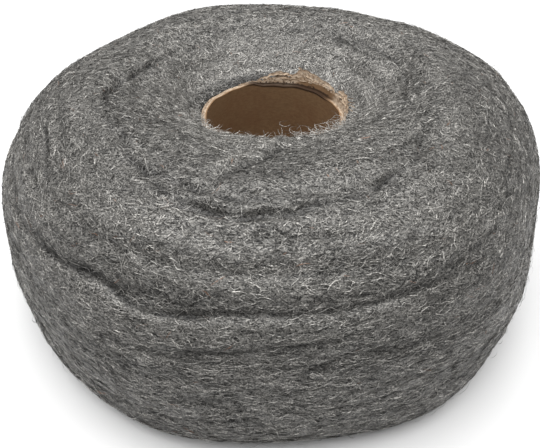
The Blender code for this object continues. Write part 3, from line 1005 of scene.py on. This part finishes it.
def make_stray_fibres(settings, material):
    """Loose fibres that stand off the roll and blur its outline."""
    surface = wound_surface()
    rng = np.random.default_rng(STRAY_SEED)
    low = surface.parts["top"][0]
    high = surface.parts["side"][1] - 2.0 * MM
    across, angle = even_starts(surface, rng, low, high, STRAY_COUNT)
    lengths = rng.uniform(0.5, 1.7, len(angle)) * STRAY_LENGTH * MM * settings.fibre_length
    spreads = np.radians(rng.uniform(*STRAY_SPREAD, len(angle)))
    centres, normals, around, lines, lift = fibre_paths(
        surface, rng, across, angle, lengths, STRAY_POINTS, spreads, settings
    )
    step = np.linspace(-0.5, 0.5, STRAY_POINTS)[None, :]
    arch = rng.uniform(0.25, 1.0, len(angle)) ** 2 * settings.stray_lift
    lean = rng.uniform(-1.0, 1.0, len(angle))
    extra = arch[:, None] * np.clip(1.0 - 3.0 * (step - 0.4 * lean[:, None]) ** 2, 0.0, 1.0)
    centres = centres + normals * extra[..., None]
    widths = rng.uniform(0.5, 1.1, len(angle)) * settings.fibre_width * STRAY_THICKNESS
    sides = fibre_strips(rng, centres, normals, widths, settings)
    values = fibre_values(surface, rng, around, lines, lift + extra, settings)
    mesh = fibre_mesh("stray_fibres", off_floor(centres), sides, values)
    return add_piece("stray_fibres", mesh, material)


# Loose curls over the tube's mouth: from and to angle in degrees, number, how far they reach
# in over the hole in millimetres, and length in millimetres.
MOUTH_CURLS = (
    (180.0, 352.0, 560, 3.0, 8.0),
    (200.0, 340.0, 220, 5.0, 9.0),
    (285.0, 345.0, 150, 9.0, 11.0),
    (352.0, 385.0, 60, 2.0, 9.0),
    (120.0, 180.0, 80, 1.5, 8.0),
)
CURL_POINTS = 12
CURL_BEND = 330.0               # spread of their bend, in radians per metre
CURL_ROOT = (3.0, 8.0)          # where they grow, in millimetres out from the mouth
CURL_LIFT = (0.2, 1.8)          # in millimetres over the wool
CURL_DROOP = 0.35               # steepest slope up or down of what hangs over the hole
CURL_WAVE = 0.5                 # spread of their rise and fall, in millimetres
CURL_MIDDLE = (-0.4, 1.0)       # place of their middles, as shares of their reach
CURL_TONE = (2.5, 1.6)          # most are bright
CURL_SEED = 31


def make_mouth_curls(settings, material):
    """Curled fibres that have come loose along the edge of the wool and hang over the tube's mouth."""
    surface = wound_surface()
    rng = np.random.default_rng(CURL_SEED)
    edge = surface.parts["top"][0]
    lines = []
    for first, last, count, reach, length in MOUTH_CURLS:
        angle = np.radians(rng.uniform(first, last, count))
        start, _ = surface.at(angle, edge + rng.uniform(*CURL_ROOT, count) * MM)
        inward = np.stack([-np.cos(angle), -np.sin(angle), np.zeros(count)], axis=-1)
        sideways = np.stack([-np.sin(angle), np.cos(angle), np.zeros(count)], axis=-1)
        heading = rng.uniform(0.0, 2.0 * math.pi, count)
        bend = rng.normal(0.0, 1.0, count) * CURL_BEND
        size = rng.uniform(0.5, 1.5, count) * length * MM
        stride = size / (CURL_POINTS - 1)
        turned = heading[:, None] + bend[:, None] * stride[:, None] * np.arange(CURL_POINTS)[None, :]
        over = np.cumsum(np.cos(turned) * stride[:, None], axis=1)
        beside = np.cumsum(np.sin(turned) * stride[:, None], axis=1)
        over -= over.mean(axis=1, keepdims=True)
        over += rng.uniform(*CURL_MIDDLE, count)[:, None] * reach * MM
        droop = rng.uniform(-CURL_DROOP, CURL_DROOP, count)[:, None] * np.maximum(over, 0.0)
        wave = rng.normal(0.0, CURL_WAVE, (count, 1)) * MM * np.sin(turned)
        height = droop + wave + rng.uniform(*CURL_LIFT, count)[:, None] * MM
        centres = start[:, None, :] + inward[:, None, :] * over[..., None]
        centres = centres + sideways[:, None, :] * beside[..., None]
        centres[..., 2] += height
        lines.append(centres)
    centres = np.concatenate(lines)
    normals = np.broadcast_to(np.array([0.0, 0.0, 1.0]), centres.shape)
    widths = rng.uniform(0.5, 1.1, len(centres)) * settings.fibre_width * STRAY_THICKNESS
    sides = fibre_strips(rng, centres, normals, widths, settings)
    shape = centres.shape[:2]
    values = {
        "tone": np.broadcast_to(rng.beta(*CURL_TONE, len(centres))[:, None], shape),
        "rust": np.zeros(shape),
        "hollow": np.zeros(shape),
    }
    mesh = fibre_mesh("mouth_curls", centres, sides, values)
    return add_piece("mouth_curls", mesh, material)


# The cardboard tube


# The solid's tube has this many flat sides, and the height of its rim is read at as many marks.
RIM_MARKS = 80
RIM_EDGE_ANGLE = math.radians(40.0)     # edges of the board sharper than this stay crisp

# Noise of the rim's shreds and crumples: seed, cells round the tube, cells up.
SHRED_NOISE = (61, 150, 9)
CRUMPLE_NOISE = (62, 70, 7)

# How rough the rim is made, outwards and upwards, in millimetres: the board's shreds, then the
# shreds and the crumple of the loose ply.
RIM_ROUGHNESS = (
    (0.10, 0.8, 0.7),
    (0.22, 0.9, 0.6),
)

# Where that roughness starts and is full, in millimetres: up to the rim, out from the bore, and
# for the loose ply out from the tube.
ROUGH_UPWARDS = (-1.2, 0.0)
ROUGH_OUTWARDS = (0.3, 0.9)
ROUGH_PLY = (0.2, 1.6)


def rim_line(angle, height, near_bore):
    """Height of the bore's upper edge at each angle."""
    mark = np.mod(np.round(angle / (2.0 * math.pi) * RIM_MARKS).astype(int), RIM_MARKS)
    top = np.zeros(RIM_MARKS)
    np.maximum.at(top, mark[near_bore], height[near_bore])
    marks = np.arange(RIM_MARKS) * (2.0 * math.pi / RIM_MARKS)
    return np.interp(np.mod(angle, 2.0 * math.pi), marks, top, period=2.0 * math.pi)


def finer_tube():
    """A copy of the tube's mesh with sixteen faces for each of its own."""
    work = bpy.data.objects.new("board_work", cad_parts[TUBE_NODE].data.copy())
    bpy.context.scene.collection.objects.link(work)
    finer = work.modifiers.new("finer", "SUBSURF")
    finer.subdivision_type = "SIMPLE"
    finer.levels = 2
    finer.render_levels = 2
    graph = bpy.context.evaluated_depsgraph_get()
    mesh = bpy.data.meshes.new_from_object(work.evaluated_get(graph))
    bpy.data.objects.remove(work, do_unlink=True)
    mesh.name = "kraft_tube"
    mesh.materials.clear()
    return mesh


def make_board(settings):
    """The tube with a finer, rougher rim than its solid."""
    mesh = finer_tube()
    points = np.zeros(len(mesh.vertices) * 3, dtype=np.float32)
    mesh.vertices.foreach_get("co", points)
    points = points.reshape(-1, 3).astype(float)
    plan = points[:, :2] - AXIS
    radius = np.hypot(plan[:, 0], plan[:, 1])
    inner, outer = radius.min(), np.median(radius[radius > radius.mean()])
    rim = np.percentile(points[radius < inner + 1.0 * MM][:, 2], 98)
    angle = np.arctan2(plan[:, 1], plan[:, 0])
    bore = inner / math.cos(math.pi / RIM_MARKS)
    near_bore = radius < bore + 0.06 * MM
    radius = np.where(near_bore, bore, radius)
    share = np.clip((points[:, 2] - rim + 10 * MM) / (30 * MM), 0.0, 1.0)
    shred = round_noise(*SHRED_NOISE, angle, share)
    crumple = round_noise(*CRUMPLE_NOISE, angle, share)
    loose = smooth_step((radius - outer) / MM, *ROUGH_PLY)
    rough = smooth_step((points[:, 2] - rim) / MM, *ROUGH_UPWARDS)
    rough = rough * smooth_step((radius - bore) / MM, *ROUGH_OUTWARDS)
    outwards, upwards = (
        rough * (board * shred + (ply * shred + fold * crumple) * loose) * MM
        for board, ply, fold in RIM_ROUGHNESS
    )
    radius = radius + outwards
    points[:, 0] = AXIS[0] + radius * np.cos(angle)
    points[:, 1] = AXIS[1] + radius * np.sin(angle)
    points[:, 2] += upwards
    mesh.vertices.foreach_set("co", points.astype(np.float32).ravel())
    drop = rim_line(angle, points[:, 2], near_bore) - points[:, 2]
    store = mesh.attributes.new("drop", "FLOAT", "POINT")
    store.data.foreach_set("value", np.ascontiguousarray(drop, dtype=np.float32))
    mesh.polygons.foreach_set("use_smooth", np.ones(len(mesh.polygons), dtype=bool))
    mesh.set_sharp_from_angle(angle=RIM_EDGE_ANGLE)
    mesh.update()
    piece = add_piece("kraft_tube", mesh, board_material(settings, bore, outer))
    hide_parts(TUBE_NODE)
    make_shreds(settings, rim, outer)


# Torn slivers along the rim: points as angle in degrees, then millimetres outwards from the
# tube's outer face and upwards from its rim; then width and crumple in millimetres.
SHREDS = (
    (
        ((70, 5.2, 7.6), (64, 4.6, 6.0), (57, 4.1, 4.6), (49, 3.6, 3.6), (41, 3.0, 3.2), (33, 2.6, 2.4)),
        2.4, 0.25,
    ),
    (((66, 3.8, 4.6), (56, 3.2, 3.0), (46, 2.6, 2.0), (36, 2.0, 1.6)), 1.4, 0.3),
    (((99, 1.2, 0.7), (93, 2.4, 2.0), (87, 3.6, 3.4), (82, 4.0, 3.6), (76, 3.4, 2.6)), 1.8, 0.6),
    (((91, 2.0, 2.2), (85, 2.6, 3.4), (79, 3.0, 3.2), (73, 3.4, 2.2), (67, 3.0, 2.4)), 1.6, 0.7),
    (((86, 1.2, 1.2), (79, 1.6, 1.8), (72, 2.0, 1.5), (64, 1.8, 1.2), (55, 1.4, 1.0)), 1.1, 0.4),
    (((27, 2.4, 3.2), (22, 3.0, 4.6), (17, 2.9, 3.6), (11, 2.4, 2.6), (5, 1.6, 1.2)), 2.6, 0.4),
    (((24, 1.2, 2.6), (17, 1.6, 2.2), (10, 1.4, 1.6), (3, 0.8, 0.9)), 1.5, 0.4),
    (((15, 2.4, 3.0), (13, 4.6, 4.0), (12, 6.4, 4.3)), 0.7, 0.2),
    (((12, 2.2, 2.6), (10, 4.4, 3.0), (8.5, 6.6, 2.9)), 0.6, 0.2),
    (((10, 2.0, 2.2), (7, 4.2, 2.2), (4.5, 6.0, 1.8)), 0.6, 0.2),
    (((7, 1.8, 1.8), (5, 3.4, 3.4), (4, 4.6, 4.8)), 0.5, 0.2),
    (((5, 1.4, 1.4), (2, 3.0, 1.8), (0, 4.2, 1.4)), 0.6, 0.2),
    (((30, 2.4, 2.4), (26, 4.0, 4.2), (24, 4.6, 5.4)), 0.6, 0.2),
    (((104, 0.4, 0.4), (100, 1.4, 1.2), (96, 2.2, 1.8)), 0.9, 0.3),
    (((122, -0.6, 0.1), (114, -0.4, 0.5), (106, -0.2, 0.7)), 0.7, 0.2),
    (((176, -0.8, 0.0), (166, -0.5, 0.4), (157, -0.6, 0.3)), 0.6, 0.2),
    (((196, -1.0, 0.0), (188, -0.6, 0.4), (182, -0.7, 0.2)), 0.6, 0.2),
)
SHRED_POINTS = 22
SHRED_LANES = (-1.0, -0.35, 0.35, 1.0)      # lines along a sliver, across half its width
SHRED_BOW = 0.35                # how far its middle bows out, as a share of half its width
SHRED_ROLL = (0.5, 1.2)         # tilt of a sliver, in radians
SHRED_TWIST = 0.16              # how much that changes from point to point
SHRED_SEED = 43


def make_shreds(settings, rim, outer):
    """Curled slivers of the torn ply along the tube's rim."""
    rng = np.random.default_rng(SHRED_SEED)
    corners = []
    faces = []
    for path, width, crumple in SHREDS:
        marks = np.array(path, dtype=float)
        share = np.linspace(0.0, 1.0, SHRED_POINTS) * (len(marks) - 1)
        angle, out, up = (np.interp(share, np.arange(len(marks)), marks[:, axis]) for axis in range(3))
        jitter = rng.normal(0.0, crumple, (2, SHRED_POINTS))
        jitter = 0.25 * np.roll(jitter, 1, axis=1) + 0.5 * jitter + 0.25 * np.roll(jitter, -1, axis=1)
        radius = outer + (out + jitter[0]) * MM
        height = rim + (up + jitter[1]) * MM
        angle = np.radians(angle)
        centre = np.stack(
            [AXIS[0] + radius * np.cos(angle), AXIS[1] + radius * np.sin(angle), height], axis=-1
        )
        outward = np.stack([np.cos(angle), np.sin(angle), np.zeros(SHRED_POINTS)], axis=-1)
        upward = np.broadcast_to(np.array([0.0, 0.0, 1.0]), outward.shape)
        roll = rng.uniform(*SHRED_ROLL) + np.cumsum(rng.normal(0.0, SHRED_TWIST, SHRED_POINTS))
        edge = upward * np.sin(roll)[:, None] + outward * np.cos(roll)[:, None]
        ends = np.sin(np.pi * np.linspace(0.06, 0.94, SHRED_POINTS)) ** 0.6
        half = 0.5 * width * MM * ends * (1.0 + rng.uniform(-0.3, 0.3, SHRED_POINTS))
        bow = np.cross(edge, unit(np.gradient(centre, axis=0)))
        rows = [
            centre + edge * half[:, None] * side + bow * (SHRED_BOW * half * (1 - side * side))[:, None]
            for side in SHRED_LANES
        ]
        base = sum(len(part) for part in corners)
        corners.append(np.stack(rows, axis=1).reshape(-1, 3))
        lanes = len(SHRED_LANES)
        for step in range(SHRED_POINTS - 1):
            for lane in range(lanes - 1):
                first = base + step * lanes + lane
                faces.append((first, first + 1, first + lanes + 1, first + lanes))
    corners = np.concatenate(corners)
    faces = np.array(faces)
    cells = int(math.ceil(math.sqrt(len(faces))))
    column, row = np.arange(len(faces)) % cells, np.arange(len(faces)) // cells
    low = np.stack([column, row], axis=-1) / cells + 0.1 / cells
    size = 0.8 / cells
    turns = np.array([(0.0, 0.0), (size, 0.0), (size, size), (0.0, size)])
    places = low[:, None, :] + turns[None, :, :]
    mesh = mesh_from_grid("torn_shreds", corners, faces, {}, places)
    return add_piece("torn_shreds", mesh, shred_material(settings))


def shred_material(settings):
    """Pale torn paper with darker fibres."""
    recipe = Recipe("torn_paper")
    place = recipe.place()
    fibres = recipe.noise(place, 1100.0, detail=3.0)
    blotch = recipe.noise(place, 260.0, detail=2.0)
    tone = fibres.between(0.3, 0.7) * 0.5 + blotch.between(0.35, 0.65) * 0.5
    colour = recipe.mix(tone, rgba(settings.torn_dark), rgba(settings.torn_colour))
    return recipe.surface({
        "Base Color": colour,
        "Metallic": 0.0,
        "Roughness": settings.board_roughness,
        "Specular IOR Level": BOARD_SHEEN,
        "Normal": recipe.bump(fibres, settings.board_bump),
    })


# What the user may change


def number_of(label, about, default, **limits):
    """A plain number that the user may change."""
    return bpy.props.FloatProperty(name=label, description=about, default=default, **limits)


def length_of(label, about, default):
    """A length in metres."""
    return number_of(label, about, default, unit="LENGTH")


def power_of(label, about, default):
    """A light's power in watts."""
    return number_of(label, about, default, min=0.0, unit="POWER")


def angle_of(label, about, default):
    """An angle in radians."""
    return number_of(label, about, default, subtype="ANGLE")


def share_of(label, about, default):
    """A share from 0 to 1."""
    return number_of(label, about, default, min=0.0, max=1.0, subtype="FACTOR")


def colour_of(label, about, default):
    """A colour."""
    return bpy.props.FloatVectorProperty(name=label, description=about, default=default, subtype="COLOR")


class SteelWoolSettings(bpy.types.PropertyGroup):
    """Sizes and colours of the wool."""

    fibre_width: length_of("Fibre width", "Width of a flat fibre", 0.00028)
    fibre_length: number_of("Fibre length", "Multiplies every fibre's length", 1.0)
    fibre_bend: number_of("Fibre bend", "Spread of the fibres' bend, in radians per metre", 150.0)
    fibre_snake: angle_of("Fibre snake", "Spread of the swing in a fibre's direction", 0.25)
    fibre_lift: length_of("Fibre lift", "How far the fibres lie over the packed wool", 0.0007)
    fibre_sink: length_of("Fibre sink", "How far the lowest fibres lie in it", 0.0003)
    fibre_roll: angle_of("Fibre roll", "Spread of the fibres' tilt", 0.5)
    stray_lift: length_of("Stray lift", "How far loose fibres stand off the roll", 0.0024)
    body_inset: length_of("Body inset", "How far the packed wool lies under the fibres", 0.0005)
    unevenness: number_of("Unevenness", "Size of the packed wool's lumps", 1.0)
    bump_height: length_of("Streak height", "Height of the packed wool's streaks", 0.0005)
    fibre_colour: colour_of("Packed fibres", "Streaks in the packed wool", (0.230, 0.222, 0.207))
    # Painted shade in the gaps between the packed fibres.
    shaded_gap_colour: colour_of("Gaps", "Gaps between packed fibres", (0.008, 0.0076, 0.007))
    # Painted shade at the bottom of the creases.
    crease_shade_colour: colour_of("Deep gaps", "Bottom of the creases", (0.012, 0.0115, 0.011))
    dull_fibre_colour: colour_of("Dull fibre", "Darkest fibres", (0.012, 0.0115, 0.0105))
    bright_fibre_colour: colour_of("Bright fibre", "Brightest fibres", (0.620, 0.598, 0.556))
    # Painted light on the fibres round the tube.
    mouth_painted_light: share_of("Bright mouth", "How much brighter the fibres near the tube are", 0.33)
    rust_colour: colour_of("Rust", "The few rusty fibres", (0.20, 0.09, 0.045))
    rust_share: share_of("Rusty fibres", "Share of the fibres with rust", 0.003)
    # Strength of the painted shade in the creases and hollows.
    hollow_darkening: share_of("Crease darkness", "How dark the creases are", 0.85)
    metallic: share_of("Metallic", "How metallic the steel is", 0.3)
    roughness: share_of("Roughness", "Roughness of the steel", 0.45)
    board_colour: colour_of("Board", "Brown board inside the tube", (0.205, 0.124, 0.065))
    # Darker grain of the board, also used for the painted shadow under the sliver.
    board_grain_and_shadow: colour_of("Board grain", "Darker grain of the board", (0.12, 0.07, 0.036))
    board_red: colour_of("Board blotches", "Reddish blotches of the board", (0.15, 0.07, 0.035))
    torn_colour: colour_of("Torn board", "Pale torn edge", (0.43, 0.345, 0.262))
    # Painted shadow behind the torn ply and in its rumples.
    ply_shadow_colour: colour_of("Shaded board", "Dark gaps behind the torn ply", (0.022, 0.012, 0.007))
    torn_dark: colour_of("Torn board grain", "Darker grain of the torn edge", (0.17, 0.11, 0.065))
    board_roughness: share_of("Board roughness", "Roughness of the board", 0.85)
    board_bump: length_of("Board grain height", "Height of the paper grain", 0.0002)


class StageSettings(bpy.types.PropertyGroup):
    """The floor, the light and the camera."""

    floor_size: length_of("Floor size", "Side of the floor", 6.0)
    floor_colour: colour_of("Floor", "Colour of the floor", (0.71, 0.71, 0.71))
    sky_strength: number_of("Ambient light", "Strength of the light from all sides", 0.30)
    key_power: power_of("Key light", "Power of the large light overhead", 37.5)
    fill_power: power_of("Fill light", "Power of the light from the front", 0.2)
    side_power: power_of("Side lights", "Power of the light from each side", 1.6)
    camera_elevation: angle_of("Camera elevation", "Angle above the horizon", math.radians(40.3))
    camera_distance: length_of("Camera distance", "From the point it looks at", 0.3933)
    camera_lens: bpy.props.FloatProperty(
        name="Lens", description="Focal length in millimetres", default=39.66, min=10.0, unit="CAMERA"
    )
    aim_x: length_of("Aim across", "Where the camera looks, to the side", -0.0034)
    aim_z: length_of("Aim height", "Height that the camera looks at", 0.0192)


# Operators


class STEELWOOL_OT_packed_wool(bpy.types.Operator):
    """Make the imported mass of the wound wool"""

    bl_idname = "steel_wool.packed_wool"
    bl_label = "Packed Wool"

    def execute(self, context):
        make_packed_wool(context.scene.steel_wool)
        return {"FINISHED"}


class STEELWOOL_OT_fibre_beds(bpy.types.Operator):
    """Lay beds of fibres over every part of the roll"""

    bl_idname = "steel_wool.fibre_beds"
    bl_label = "Fibre Beds"

    def execute(self, context):
        settings = context.scene.steel_wool
        material = fibre_material(settings)
        for bed in FIBRE_BEDS:
            make_fibre_bed(settings, material, bed)
        return {"FINISHED"}


class STEELWOOL_OT_stray_fibres(bpy.types.Operator):
    """Add loose fibres that stand off the roll or hang over the tube's mouth"""

    bl_idname = "steel_wool.stray_fibres"
    bl_label = "Stray Fibres"

    def execute(self, context):
        settings = context.scene.steel_wool
        material = fibre_material(settings)
        make_stray_fibres(settings, material)
        make_mouth_curls(settings, material)
        return {"FINISHED"}


class STEELWOOL_OT_board(bpy.types.Operator):
    """Make the cardboard tube with its torn rim"""

    bl_idname = "steel_wool.board"
    bl_label = "Cardboard Tube"

    def execute(self, context):
        make_board(context.scene.steel_wool)
        return {"FINISHED"}


class STEELWOOL_OT_stage(bpy.types.Operator):
    """Set up the floor, the lights and the camera"""

    bl_idname = "steel_wool.stage"
    bl_label = "Stage and Camera"

    def execute(self, context):
        make_floor(context.scene.steel_wool_stage)
        make_light(context.scene.steel_wool_stage)
        make_camera(context.scene.steel_wool_stage)
        return {"FINISHED"}


def make_floor(settings):
    """A plain pale floor."""
    half = 0.5 * settings.floor_size
    mesh = bpy.data.meshes.new("floor")
    corners = [(-half, -half, 0.0), (half, -half, 0.0), (half, half, 0.0), (-half, half, 0.0)]
    mesh.from_pydata(corners, [], [(0, 1, 2, 3)])
    recipe = Recipe("pale_floor")
    mesh.materials.append(recipe.surface({"Base Color": rgba(settings.floor_colour), "Roughness": 0.9}))
    floor = bpy.data.objects.new("floor", mesh)
    bpy.context.scene.collection.objects.link(floor)


# The lights: name, which power they have, side of their square, place, and the height over the
# middle of the base that they look at, in metres.
LIGHTS = (
    ("key_light", "key", 1.6, (-0.08, -0.04, 1.2), 0.08),
    ("fill_light", "fill", 0.9, (-0.5, -1.0, 0.7), 0.06),
    ("left_light", "side", 0.7, (-1.2, 0.1, 0.4), 0.06),
    ("right_light", "side", 0.7, (1.2, 0.1, 0.4), 0.06),
)


def add_area_light(name, power, size, place, target):
    """A large soft light that looks at a point."""
    lamp = bpy.data.lights.new(name, "AREA")
    lamp.energy = power
    lamp.size = size
    light = bpy.data.objects.new(name, lamp)
    light.location = place
    light.rotation_euler = (Vector(target) - Vector(place)).to_track_quat("-Z", "Y").to_euler()
    bpy.context.scene.collection.objects.link(light)


def make_light(settings):
    """Soft light from all sides, a large light overhead and weak ones in front and at both sides."""
    world = bpy.data.worlds.new("soft_surroundings")
    world.use_nodes = True
    background = world.node_tree.nodes["Background"]
    background.inputs["Color"].default_value = (1.0, 1.0, 1.0, 1.0)
    background.inputs["Strength"].default_value = settings.sky_strength
    bpy.context.scene.world = world
    powers = {"key": settings.key_power, "fill": settings.fill_power, "side": settings.side_power}
    for name, power, size, place, aim_height in LIGHTS:
        add_area_light(name, powers[power], size, place, (0.0, 0.0, aim_height))


def make_camera(settings):
    """The camera at the photograph's angle."""
    aim = Vector((settings.aim_x, 0.0, settings.aim_z))
    elevation = settings.camera_elevation
    back = Vector((0.0, -math.cos(elevation), math.sin(elevation)))
    lens = bpy.data.cameras.new("camera")
    lens.sensor_width = 36.0
    lens.lens = settings.camera_lens
    lens.clip_start = 0.01
    camera = bpy.data.objects.new("camera", lens)
    camera.location = aim + back * settings.camera_distance
    camera.rotation_euler = (-back).to_track_quat("-Z", "Y").to_euler()
    bpy.context.scene.collection.objects.link(camera)
    bpy.context.scene.camera = camera
    bpy.context.scene.view_settings.view_transform = "Standard"


class STEELWOOL_PT_pieces(bpy.types.Panel):
    """Buttons for the roll's pieces and the stage"""

    bl_label = "Steel Wool Roll"
    bl_space_type = "VIEW_3D"
    bl_region_type = "UI"
    bl_category = "Steel Wool"

    def draw(self, context):
        for operator in OPERATORS:
            self.layout.operator(operator.bl_idname)


OPERATORS = (
    STEELWOOL_OT_packed_wool,
    STEELWOOL_OT_fibre_beds,
    STEELWOOL_OT_stray_fibres,
    STEELWOOL_OT_board,
    STEELWOOL_OT_stage,
)
CLASSES = (SteelWoolSettings, StageSettings) + OPERATORS + (STEELWOOL_PT_pieces,)


def register():
    for entry in CLASSES:
        bpy.utils.register_class(entry)
    bpy.types.Scene.steel_wool = bpy.props.PointerProperty(type=SteelWoolSettings)
    bpy.types.Scene.steel_wool_stage = bpy.props.PointerProperty(type=StageSettings)


def unregister():
    del bpy.types.Scene.steel_wool_stage
    del bpy.types.Scene.steel_wool
    for entry in reversed(CLASSES):
        bpy.utils.unregister_class(entry)


def main():
    register()
    bpy.ops.steel_wool.packed_wool()
    bpy.ops.steel_wool.fibre_beds()
    bpy.ops.steel_wool.stray_fibres()
    bpy.ops.steel_wool.board()
    bpy.ops.steel_wool.stage()


if __name__ == "__main__":
    main()
